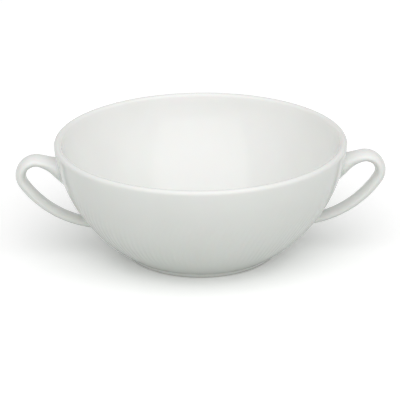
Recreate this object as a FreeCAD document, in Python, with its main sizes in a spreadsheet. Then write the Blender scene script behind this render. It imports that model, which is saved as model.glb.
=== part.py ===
"""Bouillon cup: a round porcelain soup cup with two side handles, formed, joined and fired as one piece.

Millimetres and degrees, +Z up. The origin is the centre of the foot ring's underside, on the table.
The handles point along +X and -X.
"""
import FreeCAD, Part
import os
import Sketcher
from FreeCAD import Placement, Rotation, Vector

SIZES = (
    # Bowl
    ("rim_radius", 60.2, "where the outer curve would meet the rim's height, if the lip weren't rounded"),
    ("curve_rise", 4.8, "centre of the outer curve, above the rim"),
    ("lip_wall", 2.9, "radius of the outer curve less that of the inner one"),
    ("wall_growth", 0.8, "centre of the inner curve above the outer one's: the wall thickens downwards"),
    ("floor_wall", 4.0, "bottom of the bowl, above the hollow under it"),
    ("floor_blend", 20.0, "inside radius between floor and wall"),
    # Foot ring
    ("foot_radius", 31.0, "where the outer curve ends on the foot ring"),
    ("foot_height", 1.7, "from the table to the outer curve"),
    ("foot_lean", 0.7, "how much narrower the foot ring is at the table than at its top"),
    ("ring_width", 2.6, "foot ring at the table"),
    ("ring_flare", 1.4, "how much the foot ring widens inwards, up to the hollow"),
    ("hollow_depth", 2.4, "hollow inside the foot ring"),
    ("foot_round", 0.7, "edges of the foot ring at the table"),
    ("foot_fillet", 0.5, "corner between the foot ring and the bowl, outside"),
    ("hollow_fillet", 1.2, "corner between the foot ring and the hollow"),
    # Handle centreline: an upper arc, a tight bend and a long lower arc, each tangent to the next
    ("handle_reach", 13.75, "outermost point of the centreline, beyond the rim"),
    ("handle_drop", 8.0, "top of the bend, below the rim"),
    ("bend_radius", 6.3, "bend at the outer end"),
    ("upper_radius", 26.0, "upper arc"),
    ("upper_root_fall", 3.0, "where the upper arc meets the bowl, below the top of the bend"),
    ("lower_radius", 41.0, "lower arc"),
    ("lower_root_share", 0.761, "where the lower arc meets the bowl, as a share of the outer curve's height"),
    # Handle strap: its section is an oval, square to the centreline
    ("upper_root_thickness", 7.6, "upper arc, at the bowl"),
    ("upper_root_width", 14.5, "upper arc, at the bowl"),
    ("top_thickness", 4.3, "start of the bend, at the top"),
    ("top_width", 10.0, "start of the bend, at the top"),
    ("run_thickness", 4.3, "end of the bend"),
    ("run_width", 9.0, "end of the bend"),
    ("lower_root_thickness", 3.3, "lower arc, at the bowl"),
    ("lower_root_width", 8.4, "lower arc, at the bowl"),
    ("root_depth", 5.0, "how far each root runs on into the bowl"),
    ("upper_fillet", 1.2, "corner between the upper root and the bowl"),
    ("lower_fillet", 0.6, "corner between the lower root and the bowl"),
)

# Arcs of the strap: the oval at the start and at the end, the power of the share run that turns the one
# into the other, and the number of steps from oval to oval. All steps are about as long, so the strap has
# no ripple. An arc starts at the bend and ends at the bowl, and the bend itself starts at its top.
ARCS = {
    "upper": ("top", "upper_root", 3, 2),
    "bend": ("top", "run", 1, 3),
    "lower": ("run", "lower_root", 1, 7),
}

doc = FreeCAD.newDocument("bouillon_cup")

sheet = doc.addObject("Spreadsheet::Sheet", "dims")
for line, (alias, size, meaning) in enumerate(SIZES, 1):
    sheet.set("A%d" % line, meaning)
    sheet.set("B%d" % line, str(size))
    sheet.setAlias("B%d" % line, alias)
doc.recompute()

# Places worked out from the sizes
worked = doc.addObject("App::VarSet", "worked")


def work_out(name, formula, kind="Float"):
    """Add a value that follows the sheet and the values before it."""
    worked.addProperty("App::Property" + kind, name)
    worked.setExpression(name, formula)
    worked.recompute()


def value(formula):
    """What a formula comes to now, or 0 where there is none."""
    return float(worked.evalExpression(formula)) if formula else 0.0


# Outer curve: one arc from the rim to the foot, its centre on the axis
work_out("curve_radius", "hypot(dims.rim_radius; dims.curve_rise)")
work_out("curve_z", "dims.foot_height + sqrt(worked.curve_radius ^ 2 - dims.foot_radius ^ 2)")
work_out("rim_z", "worked.curve_z - dims.curve_rise")

# Foot ring
work_out("foot_out", "dims.foot_radius - dims.foot_lean")
work_out("foot_in", "worked.foot_out - dims.ring_width")
work_out("hollow_radius", "worked.foot_in - dims.ring_flare")

# Inner curve, and the blend that is tangent to it and to the floor
work_out("inner_radius", "worked.curve_radius - dims.lip_wall")
work_out("inner_z", "worked.curve_z + dims.wall_growth")
work_out("above_rim", "worked.rim_z + dims.lip_wall")
work_out("floor_z", "dims.hollow_depth + dims.floor_wall")
work_out("blend_arm", "worked.inner_radius - dims.floor_blend")
work_out("blend_drop", "worked.inner_z - worked.floor_z - dims.floor_blend")
work_out("blend_x", "sqrt(worked.blend_arm ^ 2 - worked.blend_drop ^ 2)")
work_out("blend_end_x", "worked.blend_x * worked.inner_radius / worked.blend_arm")
work_out("blend_end_z", "worked.inner_z - worked.blend_drop * worked.inner_radius / worked.blend_arm")

# Full round of the lip: an arc that is tangent to both curves and just reaches the rim's height
work_out("lip_gain", "dims.wall_growth * (dims.wall_growth + 2 * dims.curve_rise)")
work_out("lip_sum", "worked.lip_gain + worked.curve_radius ^ 2 - worked.inner_radius ^ 2")
work_out("lip_span", "2 * (worked.curve_radius + worked.inner_radius - dims.wall_growth)")
work_out("lip_radius", "worked.lip_sum / worked.lip_span")
work_out("lip_z", "worked.rim_z - worked.lip_radius")
work_out("lip_x", "sqrt((worked.curve_radius - worked.lip_radius) ^ 2 - (worked.curve_z - worked.lip_z) ^ 2)")
work_out("to_outer", "worked.curve_radius / (worked.curve_radius - worked.lip_radius)")
work_out("lip_out_x", "worked.lip_x * worked.to_outer")
work_out("lip_out_z", "worked.curve_z + (worked.lip_z - worked.curve_z) * worked.to_outer")
work_out("to_inner", "worked.inner_radius / (worked.inner_radius + worked.lip_radius)")
work_out("lip_in_x", "worked.lip_x * worked.to_inner")
work_out("lip_in_z", "worked.inner_z + (worked.lip_z - worked.inner_z) * worked.to_inner")

# Roots of the handle, below the rim, and centre of its bend
work_out("upper_root_drop", "dims.handle_drop + dims.upper_root_fall")
work_out("lower_root_drop", "dims.lower_root_share * (worked.rim_z - dims.foot_height)")
work_out("bend_x", "dims.rim_radius + dims.handle_reach - dims.bend_radius")
work_out("bend_z", "worked.rim_z - dims.handle_drop - dims.bend_radius")


def work_out_arc(arc, side):
    """Centre and ends of a centreline arc: tangent to the bend, and through its root on the outer curve.

    The triangle of the bend's centre, the arc's centre and the root has three known sides.
    side is + for the arc that leaves the bend upwards and - for the one that leaves it downwards.
    The strap runs on straight into the bowl, to the sunk place.
    """
    other_side = {"+": "-", "-": "+"}[side]

    def own(text):
        return text.replace("ARC", arc)

    def add(name, formula, kind="Float"):
        work_out(own("ARC_" + name), own(formula), kind)

    add("root_z", "worked.rim_z - worked.ARC_root_drop")
    add("root_x", "sqrt(worked.curve_radius ^ 2 - (worked.curve_z - worked.ARC_root_z) ^ 2)")
    add("across", "worked.ARC_root_x - worked.bend_x")
    add("up", "worked.ARC_root_z - worked.bend_z")
    add("far", "hypot(worked.ARC_across; worked.ARC_up)")
    add("arm", "dims.ARC_radius - dims.bend_radius")
    add("cosine", "(worked.ARC_arm ^ 2 + worked.ARC_far ^ 2 - dims.ARC_radius ^ 2)"
                  " / (2 * worked.ARC_far * worked.ARC_arm)")
    add("way", "atan2(worked.ARC_up; worked.ARC_across) " + side + " acos(worked.ARC_cosine)", "Angle")
    add("x", "worked.bend_x + worked.ARC_arm * cos(worked.ARC_way)")
    add("z", "worked.bend_z + worked.ARC_arm * sin(worked.ARC_way)")
    add("start", "atan2(worked.bend_z - worked.ARC_z; worked.bend_x - worked.ARC_x)", "Angle")
    add("end", "atan2(worked.ARC_root_z - worked.ARC_z; worked.ARC_root_x - worked.ARC_x)", "Angle")
    add("sunk_x", "worked.ARC_root_x " + other_side + " dims.root_depth * sin(worked.ARC_end)")
    add("sunk_z", "worked.ARC_root_z " + side + " dims.root_depth * cos(worked.ARC_end)")


work_out_arc("upper", "+")
work_out_arc("lower", "-")

body = doc.addObject("PartDesign::Body", "cup")
body.Label = "cup"
PLANES = {item.Role: item for item in body.Origin.OriginFeatures}


def sketch_on(role, name):
    """A sketch on one of the body's origin planes."""
    sketch = body.newObject("Sketcher::SketchObject", name)
    sketch.AttachmentSupport = [(PLANES[role], "")]
    sketch.MapMode = "FlatFace"
    return sketch


def bind(sketch, formula, kind, *places):
    """Add a dimension that follows a formula."""
    index = sketch.addConstraint(Sketcher.Constraint(kind, *places, value(formula)))
    sketch.setExpression("Constraints[%d]" % index, formula)


def hold(sketch, edge, point, across, up):
    """Hold a point at its distances from the axis and the table: on it for None, free for an empty one."""
    for formula, kind, line in ((across, "DistanceX", -2), (up, "DistanceY", -1)):
        if formula is None:
            sketch.addConstraint(Sketcher.Constraint("PointOnObject", edge, point, line))
        elif formula:
            bind(sketch, formula, kind, -1, 1, edge, point)


def half_section(name, corners, arcs):
    """A closed half section through the corners in turn, each given by its distances as for hold.

    arcs gives, for each edge that is an arc, the centre. An edge has the number of its first corner.
    """
    sketch = sketch_on("XZ_Plane", name)
    spots = [Vector(value(across), value(up), 0) for across, up in corners]
    for edge, start in enumerate(spots):
        end = spots[(edge + 1) % len(spots)]
        if edge in arcs:
            across, up = arcs[edge]
            centre = Vector(value(across), value(up), 0)
            circle = Part.Circle(centre, Vector(0, 0, 1), centre.distanceToPoint(start))
            sketch.addGeometry(Part.ArcOfCircle(circle, circle.parameter(start), circle.parameter(end)))
        else:
            sketch.addGeometry(Part.LineSegment(start, end))
    for edge, (across, up) in enumerate(corners):
        sketch.addConstraint(Sketcher.Constraint("Coincident", edge, 2, (edge + 1) % len(corners), 1))
        hold(sketch, edge, 1, across, up)
    for edge, (across, up) in arcs.items():
        hold(sketch, edge, 3, across, "")
    return sketch


def oval_section(arc, step, sunk=False):
    """An oval across the strap, so many steps along an arc of the centreline, or sunk beyond its root."""
    start, end, power, steps = ARCS[arc]
    share = "(%d / %d)" % (step, steps)
    first = "worked.upper_start" if arc == "bend" else "worked.%s_start" % arc
    last = "worked.lower_start" if arc == "bend" else "worked.%s_end" % arc
    angle = "(%s + (%s - %s) * %s)" % (first, last, first, share)
    across = "worked.%s_x + dims.%s_radius * cos(%s)" % (arc, arc, angle)
    up = "worked.%s_z + dims.%s_radius * sin(%s)" % (arc, arc, angle)
    if sunk:
        across, up = "worked.%s_sunk_x" % arc, "worked.%s_sunk_z" % arc

    def blend(side):
        names = {"first": "dims.%s_%s" % (start, side), "last": "dims.%s_%s" % (end, side)}
        return "%(first)s + (%(last)s - %(first)s)" % names + " * %s ^ %s" % (share, power)

    thickness, width = blend("thickness"), blend("width")
    sketch = sketch_on("XY_Plane", "oval")
    sketch.AttachmentOffset = Placement(Vector(0, 0, 0), Rotation(Vector(0, 1, 0), 90))
    sketch.setExpression("AttachmentOffset.Base.x", across)
    sketch.setExpression("AttachmentOffset.Base.z", up)
    sketch.setExpression("AttachmentOffset.Rotation.Angle", "-" + angle)
    long_end = Vector(0, value(width) / 2, 0)
    short_end = Vector(value(thickness) / 2, 0, 0)
    sketch.addGeometry(Part.Ellipse(long_end, short_end, Vector(0, 0, 0)))
    sketch.exposeInternalGeometry(0)
    long_axis, short_axis = 1, 2
    sketch.addConstraint(Sketcher.Constraint("Coincident", 0, 3, -1, 1))
    sketch.addConstraint(Sketcher.Constraint("Vertical", long_axis))
    bind(sketch, width, "Distance", long_axis)
    bind(sketch, thickness, "Distance", short_axis)
    return sketch


def finish(feature, grows):
    """Recompute with the new feature at the tip. It has to change the volume the right way."""
    before = feature.BaseFeature.Shape.Volume if feature.BaseFeature else 0.0
    body.Tip = feature
    doc.recompute()
    if (feature.Shape.Volume > before) != grows:
        raise RuntimeError("%s changed the volume the wrong way" % feature.Name)
    return feature


def turn(kind, name, sketch, grows):
    """Revolve a half section all the way round the axis."""
    feature = body.newObject("PartDesign::" + kind, name)
    feature.Profile = sketch
    feature.ReferenceAxis = (sketch, ["V_Axis"])
    feature.Angle = 360
    return finish(feature, grows)


def round_edges(name, base, edges, radius, grows):
    """Fillet the named edges of the base."""
    feature = body.newObject("PartDesign::Fillet", name)
    feature.Base = (base, edges)
    feature.setExpression("Radius", radius)
    return finish(feature, grows)


def rings(shape, *places):
    """Names of the circles about the axis at the given radii and heights."""
    near = 1e-4
    names = []
    for number, edge in enumerate(shape.Edges, 1):
        if isinstance(edge.Curve, Part.Circle):
            for across, up in places:
                off = abs(edge.Curve.Radius - value(across)) + abs(edge.Curve.Center.z - value(up))
                if off < near:
                    names.append("Edge%d" % number)
    return names


def root_edges(shape, above):
    """Names of the edges where a strap meets the outer curve, above or below the handle's middle."""
    middle = value("(worked.upper_root_z + worked.lower_root_z) / 2")
    names = []
    for number, edge in enumerate(shape.Edges, 1):
        faces = {face.Surface.TypeId for face in shape.ancestorsOfType(edge, Part.Face)}
        if faces == {"Part::GeomBSplineSurface", "Part::GeomSphere"}:
            if (edge.CenterOfMass.z > middle) == above:
                names.append("Edge%d" % number)
    return names


# Outside of the bowl, still solid, with its foot ring
outside_corners = (
    (None, "dims.hollow_depth"),
    ("worked.hollow_radius", "dims.hollow_depth"),
    ("worked.foot_in", None),
    ("worked.foot_out", None),
    ("dims.foot_radius", "dims.foot_height"),
    ("worked.lip_out_x", "worked.lip_out_z"),
    ("worked.lip_in_x", "worked.lip_in_z"),
    (None, "worked.lip_in_z"),
)
outside_arcs = {4: (None, "worked.curve_z"), 5: ("worked.lip_x", "")}
outside = turn("Revolution", "outside", half_section("outside_section", outside_corners, outside_arcs), True)

# Handles: a strap through the ovals, and its mirror image
upper_steps, bend_steps, lower_steps = (ARCS[arc][3] for arc in ("upper", "bend", "lower"))
ovals = [oval_section("upper", upper_steps, True)]
ovals += [oval_section("upper", step) for step in range(upper_steps, 0, -1)]
ovals += [oval_section("bend", step) for step in range(bend_steps + 1)]
ovals += [oval_section("lower", step) for step in range(1, lower_steps + 1)]
ovals.append(oval_section("lower", lower_steps, True))
handle = body.newObject("PartDesign::AdditiveLoft", "handle")
handle.Profile = ovals[0]
handle.Sections = ovals[1:]
handle.Ruled = False
handle.Closed = False
finish(handle, True)
other_handle = body.newObject("PartDesign::Mirrored", "other_handle")
other_handle.Originals = [handle]
other_handle.MirrorPlane = (PLANES["YZ_Plane"], [""])
finish(other_handle, True)
upper_edges = root_edges(other_handle.Shape, True)
upper = round_edges("upper_roots", other_handle, upper_edges, "dims.upper_fillet", True)
lower_edges = root_edges(upper.Shape, False)
round_edges("lower_roots", upper, lower_edges, "dims.lower_fillet", True)

# Inside of the bowl, cut last, so that the roots end in its wall
inside_corners = (
    (None, "worked.floor_z"),
    ("worked.blend_x", "worked.floor_z"),
    ("worked.blend_end_x", "worked.blend_end_z"),
    ("worked.lip_in_x", "worked.lip_in_z"),
    ("worked.lip_in_x", "worked.above_rim"),
    (None, "worked.above_rim"),
)
inside_arcs = {1: ("worked.blend_x", "worked.floor_z + dims.floor_blend"), 2: (None, "worked.inner_z")}
inside = turn("Groove", "inside", half_section("inside_section", inside_corners, inside_arcs), False)

# Rounded foot ring
ring_edges = rings(inside.Shape, ("worked.foot_out", None), ("worked.foot_in", None))
ring = round_edges("ring_edges", inside, ring_edges, "dims.foot_round", False)
foot_corner = rings(ring.Shape, ("dims.foot_radius", "dims.foot_height"))
foot = round_edges("foot_corner", ring, foot_corner, "dims.foot_fillet", True)
hollow_corner = rings(foot.Shape, ("worked.hollow_radius", "dims.hollow_depth"))
round_edges("hollow_corner", foot, hollow_corner, "dims.hollow_fillet", True)

# Nothing is written unless every object is sound
for item in doc.Objects:
    if "Invalid" in item.State or "Error" in item.State:
        raise RuntimeError("%s failed: %s" % (item.Name, item.State))
if body.Shape.isNull() or not body.Shape.isValid() or len(body.Shape.Solids) != 1:
    raise RuntimeError("cup is not one valid solid")

os.makedirs("parts", exist_ok=True)
body.Shape.exportStep(os.path.join("parts", body.Label + ".step"))
print("cup: height %.2f mm, volume %.1f cm3" % (value("worked.rim_z"), body.Shape.Volume / 1000))
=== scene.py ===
"""Bouillon cup: glazed white porcelain on a plain pale floor, under soft studio light.

Metres, +Z up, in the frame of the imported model: the origin is the centre of the foot ring's underside,
and the handles point along +X and -X.
"""
from math import acos, asin, atan2, cos, hypot, pi, radians, sin, sqrt, tan

import bpy
from mathutils import Matrix, Vector


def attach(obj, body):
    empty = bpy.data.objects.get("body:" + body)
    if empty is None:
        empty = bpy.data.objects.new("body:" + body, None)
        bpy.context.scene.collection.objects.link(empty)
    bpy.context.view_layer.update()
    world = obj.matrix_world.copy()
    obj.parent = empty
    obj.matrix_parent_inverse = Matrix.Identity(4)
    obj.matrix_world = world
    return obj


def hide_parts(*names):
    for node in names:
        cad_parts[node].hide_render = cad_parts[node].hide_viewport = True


MM = 0.001

# Bowl: an outer arc and an inner arc about the axis, whose centres lie a little above the rim
RIM_RADIUS = 60.2 * MM
CURVE_RISE = 4.8 * MM
LIP_WALL = 2.9 * MM
WALL_GROWTH = 0.8 * MM
FLOOR_WALL = 4.0 * MM
FLOOR_BLEND = 20.0 * MM

# Foot ring
FOOT_RADIUS = 31.0 * MM
FOOT_HEIGHT = 1.7 * MM
FOOT_LEAN = 0.7 * MM
RING_WIDTH = 2.6 * MM
RING_FLARE = 1.4 * MM
HOLLOW_DEPTH = 2.4 * MM
FOOT_ROUND = 0.7 * MM
FOOT_FILLET = 0.5 * MM
HOLLOW_FILLET = 1.2 * MM

# Handle: its place and the radii of its three tangent arcs
HANDLE_REACH = 13.75 * MM
HANDLE_DROP = 8.0 * MM
BEND_RADIUS = 6.3 * MM
UPPER_RADIUS = 26.0 * MM
UPPER_ROOT_FALL = 3.0 * MM
LOWER_RADIUS = 41.0 * MM
LOWER_ROOT_SHARE = 0.761

# The strap's ovals: half the thickness on the outer side, half of it on the gap's side, half the width
UPPER_ROOT_OVAL = (3.4 * MM, 4.1 * MM, 7.25 * MM)
TOP_OVAL = (2.15 * MM, 2.15 * MM, 5.0 * MM)
RUN_OVAL = (2.15 * MM, 2.15 * MM, 4.5 * MM)
LOWER_ROOT_OVAL = (1.65 * MM, 1.65 * MM, 4.2 * MM)

# How late each of those sizes grows towards the upper root, as a power of the share run
ROOT_POWERS = (3, 1.3, 3)

# How far the roots' rounding reaches: on the strap's outer side, at its edges and on the gap's side
UPPER_ROOT_REACH = (0.6 * MM, 1.4 * MM, 1.6 * MM)
LOWER_ROOT_REACH = (0.8 * MM, 0.8 * MM, 0.5 * MM)

# Fine upright flutes on the outside, pressed very shallow. Below the rim they begin at FLUTE_TOP, are at
# full depth from FLUTE_FULL on, and fade out over the last FLUTE_FADE before FLUTE_END. They stand upright
# at a drop of FLUTE_UPRIGHT times the rim's radius and curve away above and below it, as FLUTE_LEAN says.
FLUTES = 130
FLUTE_DEPTH = 0.1 * MM
FLUTE_TOP = 9.0 * MM
FLUTE_FULL = 18.0 * MM
FLUTE_END = 40.0 * MM
FLUTE_FADE = 4.0 * MM
FLUTE_LEAN = 0.96
FLUTE_UPRIGHT = 0.58

# Fineness of the bowl: round the axis, and along its section from the hollow round to the floor
STEPS_PER_FLUTE = 6
AROUND = FLUTES * STEPS_PER_FLUTE
HOLLOW_SHARES = (0, 0.5)
HOLLOW_STEPS = 5
RING_STEPS = 5
FOOT_STEPS = 4
OUTER_STEPS = 34
LIP_STEPS = 12
INNER_STEPS = 16
BLEND_STEPS = 9
FLOOR_SHARES = (0.66, 0.33, 0)

# How far round the outer curve the point lies that gives its direction at the foot ring
FOOT_SIGHT = radians(3)

# Fineness of the handles: round the strap, along it and over the rounding of each root
STRAP_AROUND = 56
STRAP_STEPS = 100
ROOT_STEPS = 12

# The stretch that is searched for each root's line on the bowl, from outside of it to inside, measured
# along the strap from the centreline's end at that root, and how often the search halves it
UPPER_SEARCH = (8 * MM, -8 * MM)
LOWER_SEARCH = (-12 * MM, 8 * MM)
HALVINGS = 40

# A short step along the strap, which gives its direction there, and how deep a root's outermost row lies
# under the bowl's surface
NUDGE = 0.05 * MM
ROOT_SUNK = 0.012 * MM

# Glaze: its refraction, and how much light goes into the porcelain and how far
GLAZE_REFRACTION = 1.52
GLAZE_SCATTER = 0.08
GLAZE_SCATTER_REACH = 2 * MM

# Its two tones, the values of the noise where they begin, and its least and greatest roughness, each with
# the size and the detail of its noise
GLAZE_TONES = ((0.86, 0.868, 0.845, 1), (0.885, 0.888, 0.872, 1))
GLAZE_TONE_PLACES = (0.35, 0.65)
GLAZE_TONE_NOISE = (35 * MM, 3.0)
GLAZE_ROUGHNESS = (0.07, 0.13)
GLAZE_ROUGHNESS_NOISE = (12 * MM, 2.0)

# Its waves and its skin: size and detail of the noise, then the strength and the depth of the relief
GLAZE_WAVES = ((9 * MM, 1.0), (0.6, 0.04 * MM))
GLAZE_SKIN = ((0.8 * MM, 1.0), (0.5, 0.003 * MM))

# Bare porcelain under the foot ring: its grain, given like the waves, sets its tone and its relief
BARE_TONES = ((0.66, 0.64, 0.60, 1), (0.78, 0.765, 0.73, 1))
BARE_ROUGHNESS = 0.75
BARE_GRAIN = ((0.4 * MM, 4.0), (0.6, 0.05 * MM))

# Floor: its side, its roughness, the colour that it throws on the cup, the white that the camera sees, and
# the share of that white in reflections
FLOOR_SIZE = 6.0
FLOOR_ROUGHNESS = 0.9
FLOOR_BOUNCE = (0.57, 0.60, 0.57, 1)
FLOOR_SEEN = (1.22, 1.22, 1.22, 1)
FLOOR_MIRRORED = 0.7

# Soft square lamps: name, place, side and power in watts
LAMPS = (
    ("above", (0.0, -0.9, 1.2), 2.4, 14.4),
    ("right", (1.4, -0.6, 0.9), 1.2, 1.3),
)

# Brightness of the surround, behind the cup and in front of it
WORLD_BEHIND = 0.49
WORLD_IN_FRONT = 0.72

# Camera: where it stands, seen from the rim's centre, and how far it sees; the photograph's focal length
# and side in pixels; the pixel of the rim's centre; the roll; and the sensor's width in millimetres
VIEW_ELEVATION = radians(20.0)
VIEW_AZIMUTH = radians(-1.25)
VIEW_DISTANCE = 1.08
VIEW_END = 20
FOCAL_PIXELS = 2637.0
FRAME_PIXELS = 400
RIM_PIXEL = (200.47, 139.3)
ROLL = -0.0090
SENSOR = 36.0

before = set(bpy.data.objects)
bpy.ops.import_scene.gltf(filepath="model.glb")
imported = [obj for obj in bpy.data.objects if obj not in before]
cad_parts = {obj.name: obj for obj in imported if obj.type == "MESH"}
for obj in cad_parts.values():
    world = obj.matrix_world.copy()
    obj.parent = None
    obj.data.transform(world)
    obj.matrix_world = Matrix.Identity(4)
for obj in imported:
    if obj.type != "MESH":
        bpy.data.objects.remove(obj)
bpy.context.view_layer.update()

# Bowl, worked out from its sizes
CURVE_RADIUS = hypot(RIM_RADIUS, CURVE_RISE)
CURVE_Z = FOOT_HEIGHT + sqrt(CURVE_RADIUS ** 2 - FOOT_RADIUS ** 2)
RIM_Z = CURVE_Z - CURVE_RISE
INNER_RADIUS = CURVE_RADIUS - LIP_WALL
INNER_Z = CURVE_Z + WALL_GROWTH
FLOOR_Z = HOLLOW_DEPTH + FLOOR_WALL
LIP_RADIUS = ((WALL_GROWTH * (WALL_GROWTH + 2 * CURVE_RISE) + CURVE_RADIUS ** 2 - INNER_RADIUS ** 2)
              / (2 * (CURVE_RADIUS + INNER_RADIUS - WALL_GROWTH)))
LIP_Z = RIM_Z - LIP_RADIUS
LIP_X = sqrt((CURVE_RADIUS - LIP_RADIUS) ** 2 - (CURVE_Z - LIP_Z) ** 2)

# Handle, worked out from its sizes and the bowl's
BALL_CENTRE = Vector((0, 0, CURVE_Z))
BEND_X = RIM_RADIUS + HANDLE_REACH - BEND_RADIUS
BEND_Z = RIM_Z - HANDLE_DROP - BEND_RADIUS
UPPER_ROOT_DROP = HANDLE_DROP + UPPER_ROOT_FALL
LOWER_ROOT_DROP = LOWER_ROOT_SHARE * (RIM_Z - FOOT_HEIGHT)


def arc_points(centre, radius, start, end, steps):
    """Points from one angle to another round a centre, both ends included."""
    turns = [start + (end - start) * step / steps for step in range(steps + 1)]
    return [(centre[0] + radius * cos(turn), centre[1] + radius * sin(turn)) for turn in turns]


def corner_points(before, corner, after, radius, steps):
    """Points of the arc that rounds the corner between two others."""
    corner = Vector(corner)
    back, on = Vector(before) - corner, Vector(after) - corner
    half = back.angle(on) / 2
    back.normalize()
    on.normalize()
    centre = corner + (back + on).normalized() * (radius / sin(half))
    first = corner + back * (radius / tan(half)) - centre
    last = corner + on * (radius / tan(half)) - centre
    start = atan2(first.y, first.x)
    return arc_points(centre, radius, start, start - first.angle_signed(last), steps)


def underside():
    """The bowl's half section from the axis underneath to the outer curve: hollow, ring and ring's corner."""
    foot_out = FOOT_RADIUS - FOOT_LEAN
    inner_edge, outer_edge = (foot_out - RING_WIDTH, 0), (foot_out, 0)
    hollow_edge, ring_top = (inner_edge[0] - RING_FLARE, HOLLOW_DEPTH), (FOOT_RADIUS, FOOT_HEIGHT)
    past_ring = asin((FOOT_HEIGHT - CURVE_Z) / CURVE_RADIUS) + FOOT_SIGHT
    on_curve = (CURVE_RADIUS * cos(past_ring), CURVE_Z + CURVE_RADIUS * sin(past_ring))
    hollow = [(hollow_edge[0] * share, HOLLOW_DEPTH) for share in HOLLOW_SHARES]
    hollow += corner_points(hollow[-1], hollow_edge, inner_edge, HOLLOW_FILLET, HOLLOW_STEPS)
    ring = corner_points(hollow_edge, inner_edge, outer_edge, FOOT_ROUND, RING_STEPS)
    ring += corner_points(inner_edge, outer_edge, ring_top, FOOT_ROUND, RING_STEPS)
    return hollow, ring, corner_points(outer_edge, ring_top, on_curve, FOOT_FILLET, FOOT_STEPS)


def upper_side(start):
    """The rest of the half section, from a point of the outer curve to the axis: outside, lip and inside."""
    outer_end = atan2(LIP_Z - CURVE_Z, LIP_X)
    inner_end = atan2(LIP_Z - INNER_Z, LIP_X)
    first = atan2(start[1] - CURVE_Z, start[0])
    outside = arc_points((0, CURVE_Z), CURVE_RADIUS, first, outer_end, OUTER_STEPS)
    lip = arc_points((LIP_X, LIP_Z), LIP_RADIUS, outer_end, inner_end + pi, LIP_STEPS)
    arm = INNER_RADIUS - FLOOR_BLEND
    drop = INNER_Z - FLOOR_Z - FLOOR_BLEND
    blend_x = sqrt(arm ** 2 - drop ** 2)
    blend_angle = -acos(blend_x / arm)
    wall = arc_points((0, INNER_Z), INNER_RADIUS, inner_end, blend_angle, INNER_STEPS)
    blend = arc_points((blend_x, FLOOR_Z + FLOOR_BLEND), FLOOR_BLEND, blend_angle, -pi / 2, BLEND_STEPS)
    floor = [(blend_x * share, FLOOR_Z) for share in FLOOR_SHARES]
    return outside[1:], lip[1:] + wall[1:] + blend[1:] + floor


def smooth(value):
    """0 below 0, 1 above 1 and an even curve between."""
    value = min(max(value, 0.0), 1.0)
    return value * value * (3 - 2 * value)


def flute(turn, z):
    """How far the outside is pressed in at an angle and a height."""
    drop = RIM_Z - z
    fade = smooth((drop - FLUTE_TOP) / (FLUTE_FULL - FLUTE_TOP)) * smooth((FLUTE_END - drop) / FLUTE_FADE)
    lean = FLUTE_LEAN * (FLUTE_UPRIGHT - drop / RIM_RADIUS) ** 2
    return FLUTE_DEPTH * fade * (0.5 - 0.5 * cos(FLUTES * (turn - lean)))


def bowl_mesh():
    """Vertices, faces and the faces of the bare ring, all turned round the axis."""
    hollow, ring, corner = underside()
    outside, rest = upper_side(corner[-1])
    profile = hollow + ring + corner + outside + rest
    fluted = range(len(hollow + ring + corner), len(hollow + ring + corner + outside))
    bare = range(len(hollow), len(hollow + ring) - 1)
    verts, faces, bare_faces = [Vector((0, 0, profile[0][1]))], [], []
    for row, (across, up) in enumerate(profile[1:-1], 1):
        for step in range(AROUND):
            turn = 2 * pi * step / AROUND
            pressed = flute(turn, up) if row in fluted else 0.0
            verts.append(Vector(((across - pressed) * cos(turn), (across - pressed) * sin(turn), up)))
    verts.append(Vector((0, 0, profile[-1][1])))
    last = len(profile) - 2
    for step in range(AROUND):
        after = (step + 1) % AROUND
        faces.append((0, 1 + after, 1 + step))
        for row in range(1, last):
            low, high = 1 + (row - 1) * AROUND, 1 + row * AROUND
            if row in bare:
                bare_faces.append(len(faces))
            faces.append((low + step, low + after, high + after, high + step))
        top = 1 + (last - 1) * AROUND
        faces.append((top + step, top + after, len(verts) - 1))
    return verts, faces, bare_faces


def arc_from_root(radius, root_drop, side):
    """Centre and end angles of a centreline arc that is tangent to the bend and ends on the outer curve."""
    root_z = RIM_Z - root_drop
    root_x = sqrt(CURVE_RADIUS ** 2 - (CURVE_Z - root_z) ** 2)
    across, up = root_x - BEND_X, root_z - BEND_Z
    far, arm = hypot(across, up), radius - BEND_RADIUS
    way = atan2(up, across) + side * acos((arm ** 2 + far ** 2 - radius ** 2) / (2 * far * arm))
    x, z = BEND_X + arm * cos(way), BEND_Z + arm * sin(way)
    return (x, z), atan2(BEND_Z - z, BEND_X - x), atan2(root_z - z, root_x - x)


# The strap's arcs and their lengths
UPPER_CENTRE, UPPER_START, UPPER_END = arc_from_root(UPPER_RADIUS, UPPER_ROOT_DROP, 1)
LOWER_CENTRE, LOWER_START, LOWER_END = arc_from_root(LOWER_RADIUS, LOWER_ROOT_DROP, -1)
UPPER_LENGTH = UPPER_RADIUS * (UPPER_END - UPPER_START)
BEND_LENGTH = BEND_RADIUS * (UPPER_START - LOWER_START)
LOWER_LENGTH = LOWER_RADIUS * (LOWER_START - LOWER_END)
STRAP_LENGTH = UPPER_LENGTH + BEND_LENGTH + LOWER_LENGTH


def mixed(first, last, shares):
    """An oval between two others, with a share for each of its sizes."""
    return tuple(a + (b - a) * share for a, b, share in zip(first, last, shares))


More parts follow.
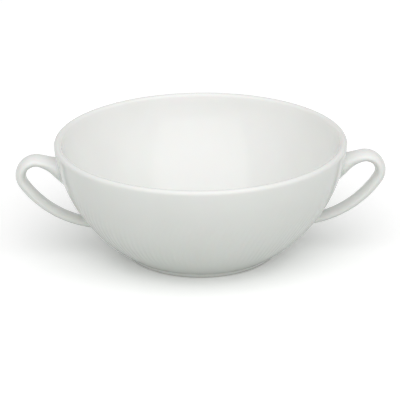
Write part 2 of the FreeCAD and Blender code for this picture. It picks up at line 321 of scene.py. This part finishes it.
def strap_section(along):
    """Centre, outward direction and oval of the strap, so far from its upper root.

    It runs on straight past a root, and the half on the gap's side goes on growing past the upper one.
    """
    past = min(along, 0.0) + max(along - STRAP_LENGTH, 0.0)
    along = min(max(along, 0.0), STRAP_LENGTH)
    if along < UPPER_LENGTH:
        centre, radius, turn = UPPER_CENTRE, UPPER_RADIUS, UPPER_END - along / UPPER_RADIUS
        near = 1 - along / UPPER_LENGTH
        bases = (near, near - past / UPPER_LENGTH, near)
        shares = [base ** power for base, power in zip(bases, ROOT_POWERS)]
        oval = mixed(TOP_OVAL, UPPER_ROOT_OVAL, shares)
    elif along < UPPER_LENGTH + BEND_LENGTH:
        run = along - UPPER_LENGTH
        centre, radius, turn = (BEND_X, BEND_Z), BEND_RADIUS, UPPER_START - run / BEND_RADIUS
        oval = mixed(TOP_OVAL, RUN_OVAL, 3 * [run / BEND_LENGTH])
    else:
        run = along - UPPER_LENGTH - BEND_LENGTH
        centre, radius, turn = LOWER_CENTRE, LOWER_RADIUS, LOWER_START - run / LOWER_RADIUS
        oval = mixed(RUN_OVAL, LOWER_ROOT_OVAL, 3 * [run / LOWER_LENGTH])
    out = Vector((cos(turn), 0, sin(turn)))
    ahead = Vector((sin(turn), 0, -cos(turn)))
    middle = Vector((centre[0], 0, centre[1])) + out * radius + ahead * past
    return middle, out, oval


def strap_point(along, turn):
    """A point of the strap's surface, with the turn round its oval."""
    middle, out, (outer, inner, width) = strap_section(along)
    thickness = outer if sin(turn) > 0 else inner
    return middle + out * (thickness * sin(turn)) + Vector((0, width * cos(turn), 0))


def meeting(turn, outside, inside):
    """Where a line along the strap goes into the bowl, between a place outside of it and one inside."""
    for _ in range(HALVINGS):
        half = (outside + inside) / 2
        if (strap_point(half, turn) - BALL_CENTRE).length > CURVE_RADIUS:
            outside = half
        else:
            inside = half
    return half


def root_line(place, turn, away, spread, reach):
    """Points over a root's rounding on one line along the strap, from the bowl up to the strap.

    place is where the line meets the bowl, away the way along the strap that leaves it, and spread the
    direction in which the rounding runs out on the bowl. The points lie on a conic that is tangent to the
    strap at its upper end and to the bowl's surface at its foot.
    """
    hit = strap_point(place, turn)
    leave = (strap_point(place + away * NUDGE, turn) - hit).normalized()
    start = strap_point(place + away * reach, turn)
    heading = (strap_point(place + away * reach - away * NUDGE, turn) - start).normalized()
    foot = BALL_CENTRE + (hit + spread * reach - BALL_CENTRE).normalized() * CURVE_RADIUS
    normal = (foot - BALL_CENTRE).normalized()
    control = start + heading * ((foot - start).dot(normal) / heading.dot(normal))
    weight = sin(leave.angle(spread) / 2)
    line = []
    for step in range(ROOT_STEPS):
        share = step / ROOT_STEPS
        parts = ((1 - share) ** 2, 2 * weight * share * (1 - share), share ** 2)
        line.append((foot * parts[0] + control * parts[1] + start * parts[2]) / sum(parts))
    return line


def root_rows(turns, outside, inside, reaches):
    """Rows of points that round one root, from the bowl out to the strap, and where each line ends on it."""
    outer, edges, inner = reaches
    away = 1 if outside > inside else -1
    places = [meeting(turn, outside, inside) for turn in turns]
    loop = [strap_point(place, turn) for place, turn in zip(places, turns)]
    middle = sum(loop, Vector()) / len(loop)
    lines, ends = [], []
    for index, (place, turn) in enumerate(zip(places, turns)):
        edge = loop[(index + 1) % len(loop)] - loop[index - 1]
        spread = edge.cross((loop[index] - BALL_CENTRE).normalized()).normalized()
        if spread.dot(loop[index] - middle) < 0:
            spread = -spread
        lift = sin(turn)
        reach = edges + (outer - edges) * max(lift, 0) ** 2 + (inner - edges) * max(-lift, 0) ** 2
        lines.append(root_line(place, turn, away, spread, reach))
        ends.append(place + away * reach)
    return [list(row) for row in zip(*lines)], ends


def onto_flutes(point):
    """A point of the plain outer curve, moved onto the fluted outside and just under its surface."""
    level = Vector((point.x, point.y, 0)).normalized()
    pressed = flute(atan2(point.y, point.x), point.z)
    return point - level * pressed - (point - BALL_CENTRE).normalized() * ROOT_SUNK


def strap_mesh(side):
    """Vertices and faces of one handle, its ends spread on the bowl. side is 1 for +X and -1 for -X."""
    turns = [2 * pi * step / STRAP_AROUND for step in range(STRAP_AROUND)]
    rows, upper_ends = root_rows(turns, *UPPER_SEARCH, UPPER_ROOT_REACH)
    outside, inside = (STRAP_LENGTH + past for past in LOWER_SEARCH)
    lower_rows, lower_ends = root_rows(turns, outside, inside, LOWER_ROOT_REACH)
    for step in range(STRAP_STEPS + 1):
        share = step / STRAP_STEPS
        places = [first + (last - first) * share for first, last in zip(upper_ends, lower_ends)]
        rows.append([strap_point(place, turn) for place, turn in zip(places, turns)])
    rows += reversed(lower_rows)
    rows = [[Vector((side * point.x, point.y, point.z)) for point in row] for row in rows]
    for row in (rows[0], rows[-1]):
        row[:] = [onto_flutes(point) for point in row]
    verts = [point for row in rows for point in row]
    faces = []
    for row in range(len(rows) - 1):
        low, high = row * STRAP_AROUND, (row + 1) * STRAP_AROUND
        for step in range(STRAP_AROUND):
            after = (step + 1) % STRAP_AROUND
            face = (low + step, low + after, high + after, high + step)
            faces.append(face if side > 0 else face[::-1])
    return verts, faces


def new_object(name, data):
    """A new object in the scene."""
    made = bpy.data.objects.new(name, data)
    bpy.context.scene.collection.objects.link(made)
    return made


def set_inputs(node, **values):
    """Set a node's inputs by name, with _ for a space."""
    for name, value in values.items():
        node.inputs[name.replace("_", " ")].default_value = value


def new_material(name, **values):
    """A new material, with its node tree and its shader, whose inputs are set by name."""
    material = bpy.data.materials.new(name)
    material.use_nodes = True
    tree = material.node_tree
    shader = tree.nodes["Principled BSDF"]
    set_inputs(shader, **values)
    return material, tree, shader


def new_node(tree, kind, properties=None, **values):
    """A new shader node with its properties and then its inputs set by name."""
    made = tree.nodes.new("ShaderNode" + kind)
    for name, value in (properties or {}).items():
        setattr(made, name, value)
    set_inputs(made, **values)
    return made


def noise(tree, size, detail):
    """The value of a noise that is fixed to the object."""
    place = new_node(tree, "TexCoord")
    made = new_node(tree, "TexNoise", Scale=1 / size, Detail=detail)
    tree.links.new(place.outputs["Object"], made.inputs["Vector"])
    return made.outputs["Fac"]


def shift_tone(tree, shader, value, tones, places=(0, 1)):
    """Let a value move the shader's colour from one tone to another."""
    tone = new_node(tree, "ValToRGB")
    for element, colour, place in zip(tone.color_ramp.elements, tones, places):
        element.position = place
        element.color = colour
    tree.links.new(value, tone.inputs["Fac"])
    tree.links.new(tone.outputs["Color"], shader.inputs["Base Color"])


def relief(tree, height, strength, depth):
    """A node whose normals follow a height."""
    made = new_node(tree, "Bump", Strength=strength, Distance=depth)
    tree.links.new(height, made.inputs["Height"])
    return made


def glaze_material():
    """White porcelain under a clear glaze: a wet gloss, a slight waviness, and tiny shifts of tone."""
    material, tree, shader = new_material(
        "glaze", IOR=GLAZE_REFRACTION, Subsurface_Weight=GLAZE_SCATTER, Subsurface_Scale=GLAZE_SCATTER_REACH)
    shift_tone(tree, shader, noise(tree, *GLAZE_TONE_NOISE), GLAZE_TONES, GLAZE_TONE_PLACES)

    gloss = new_node(tree, "MapRange", To_Min=GLAZE_ROUGHNESS[0], To_Max=GLAZE_ROUGHNESS[1])
    tree.links.new(noise(tree, *GLAZE_ROUGHNESS_NOISE), gloss.inputs["Value"])
    tree.links.new(gloss.outputs["Result"], shader.inputs["Roughness"])

    reliefs = (GLAZE_WAVES, GLAZE_SKIN)
    wave, skin = (relief(tree, noise(tree, *pattern), *press) for pattern, press in reliefs)
    tree.links.new(wave.outputs["Normal"], skin.inputs["Normal"])
    tree.links.new(skin.outputs["Normal"], shader.inputs["Normal"])
    return material


def bare_material():
    """The wiped ring under the foot: dry, matt porcelain with a fine grain."""
    material, tree, shader = new_material("bare_porcelain", Roughness=BARE_ROUGHNESS)
    pattern, press = BARE_GRAIN
    grain = noise(tree, *pattern)
    shift_tone(tree, shader, grain, BARE_TONES)
    tree.links.new(relief(tree, grain, *press).outputs["Normal"], shader.inputs["Normal"])
    return material


def make_cup():
    """The whole cup as one smooth mesh: the turned bowl and its two handles."""
    verts, faces, bare_faces = bowl_mesh()
    for side in (1, -1):
        strap_verts, strap_faces = strap_mesh(side)
        first = len(verts)
        verts += strap_verts
        faces += [tuple(first + corner for corner in face) for face in strap_faces]
    mesh = bpy.data.meshes.new("porcelain_cup")
    mesh.from_pydata(verts, [], faces)
    mesh.materials.append(glaze_material())
    mesh.materials.append(bare_material())
    mesh.polygons.foreach_set("use_smooth", [True] * len(faces))
    for face in bare_faces:
        mesh.polygons[face].material_index = 1
    mesh.update()
    cup = new_object("porcelain_cup", mesh)
    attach(cup, "root")
    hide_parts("cup")


def floor_material():
    """A matt floor, white to the camera and in reflections, that throws a duller light on the cup."""
    material, tree, shader = new_material("floor", Roughness=FLOOR_ROUGHNESS, Specular_IOR_Level=0.0)
    rays = new_node(tree, "LightPath")
    mirrored = new_node(tree, "Math", {"operation": "MAXIMUM"})
    tree.links.new(rays.outputs["Is Glossy Ray"], mirrored.inputs[0])
    tree.links.new(rays.outputs["Is Transmission Ray"], mirrored.inputs[1])
    dimmed = new_node(tree, "Math", {"operation": "MULTIPLY"})
    tree.links.new(mirrored.outputs["Value"], dimmed.inputs[0])
    dimmed.inputs[1].default_value = FLOOR_MIRRORED
    seen = new_node(tree, "Math", {"operation": "MAXIMUM"})
    tree.links.new(rays.outputs["Is Camera Ray"], seen.inputs[0])
    tree.links.new(dimmed.outputs["Value"], seen.inputs[1])
    shade = new_node(tree, "Mix", {"data_type": "RGBA"})
    bounce, white = (socket for socket in shade.inputs if socket.type == "RGBA")
    bounce.default_value = FLOOR_BOUNCE
    white.default_value = FLOOR_SEEN
    tree.links.new(seen.outputs["Value"], shade.inputs["Factor"])
    result = next(socket for socket in shade.outputs if socket.type == "RGBA")
    tree.links.new(result, shader.inputs["Base Color"])
    return material


def make_floor():
    """A plain pale floor that keeps the cup's shadow."""
    half = FLOOR_SIZE / 2
    corners = [(-half, -half, 0), (half, -half, 0), (half, half, 0), (-half, half, 0)]
    mesh = bpy.data.meshes.new("floor")
    mesh.from_pydata(corners, [], [(0, 1, 2, 3)])
    mesh.materials.append(floor_material())
    floor = new_object("floor", mesh)


def make_lamp(name, place, size, power):
    """A square soft light that faces the cup."""
    light = bpy.data.lights.new(name, "AREA")
    light.shape = "SQUARE"
    light.size = size
    light.energy = power
    lamp = new_object(name, light)
    lamp.location = place
    lamp.rotation_euler = (Vector((0, 0, RIM_Z)) - Vector(place)).to_track_quat("-Z", "Y").to_euler()


def make_light():
    """A large soft lamp above the camera, a weak one on the right, and a surround brighter in front."""
    for lamp in LAMPS:
        make_lamp(*lamp)
    world = bpy.data.worlds.new("surround")
    world.use_nodes = True
    tree = world.node_tree
    background = tree.nodes["Background"]
    set_inputs(background, Color=(1, 1, 1, 1))
    place = new_node(tree, "TexCoord")
    split = new_node(tree, "SeparateXYZ")
    tree.links.new(place.outputs["Generated"], split.inputs["Vector"])
    # The direction's Y goes from 1 straight behind the cup to -1 straight in front of it
    level = new_node(tree, "MapRange", {"interpolation_type": "SMOOTHSTEP"},
                     From_Min=1.0, From_Max=-1.0, To_Min=WORLD_BEHIND, To_Max=WORLD_IN_FRONT)
    tree.links.new(split.outputs["Y"], level.inputs["Value"])
    tree.links.new(level.outputs["Result"], background.inputs["Strength"])
    bpy.context.scene.world = world


def make_camera():
    """The photograph's view: a long lens from a little above, aimed so that the rim lies high in it."""
    data = bpy.data.cameras.new("camera")
    data.sensor_width = SENSOR
    data.lens = FOCAL_PIXELS / FRAME_PIXELS * SENSOR
    data.clip_end = VIEW_END
    camera = new_object("camera", data)
    rim = Vector((0, 0, RIM_Z))
    flat, up = VIEW_DISTANCE * cos(VIEW_ELEVATION), VIEW_DISTANCE * sin(VIEW_ELEVATION)
    camera.location = rim + Vector((flat * sin(VIEW_AZIMUTH), -flat * cos(VIEW_AZIMUTH), up))
    aim = (rim - camera.location).to_track_quat("-Z", "Y").to_matrix()
    middle = Vector((FRAME_PIXELS / 2, FRAME_PIXELS / 2))
    off = Matrix.Rotation(-ROLL, 2) @ (Vector(RIM_PIXEL) - middle)
    pan = Matrix.Rotation(atan2(off.x, FOCAL_PIXELS), 3, "Y")
    tilt = Matrix.Rotation(atan2(off.y, FOCAL_PIXELS), 3, "X")
    camera.rotation_euler = (aim @ pan @ tilt @ Matrix.Rotation(ROLL, 3, "Z")).to_euler()
    bpy.context.scene.camera = camera


make_cup()
make_floor()
make_light()
make_camera()
bpy.context.scene.view_settings.view_transform = "Standard"
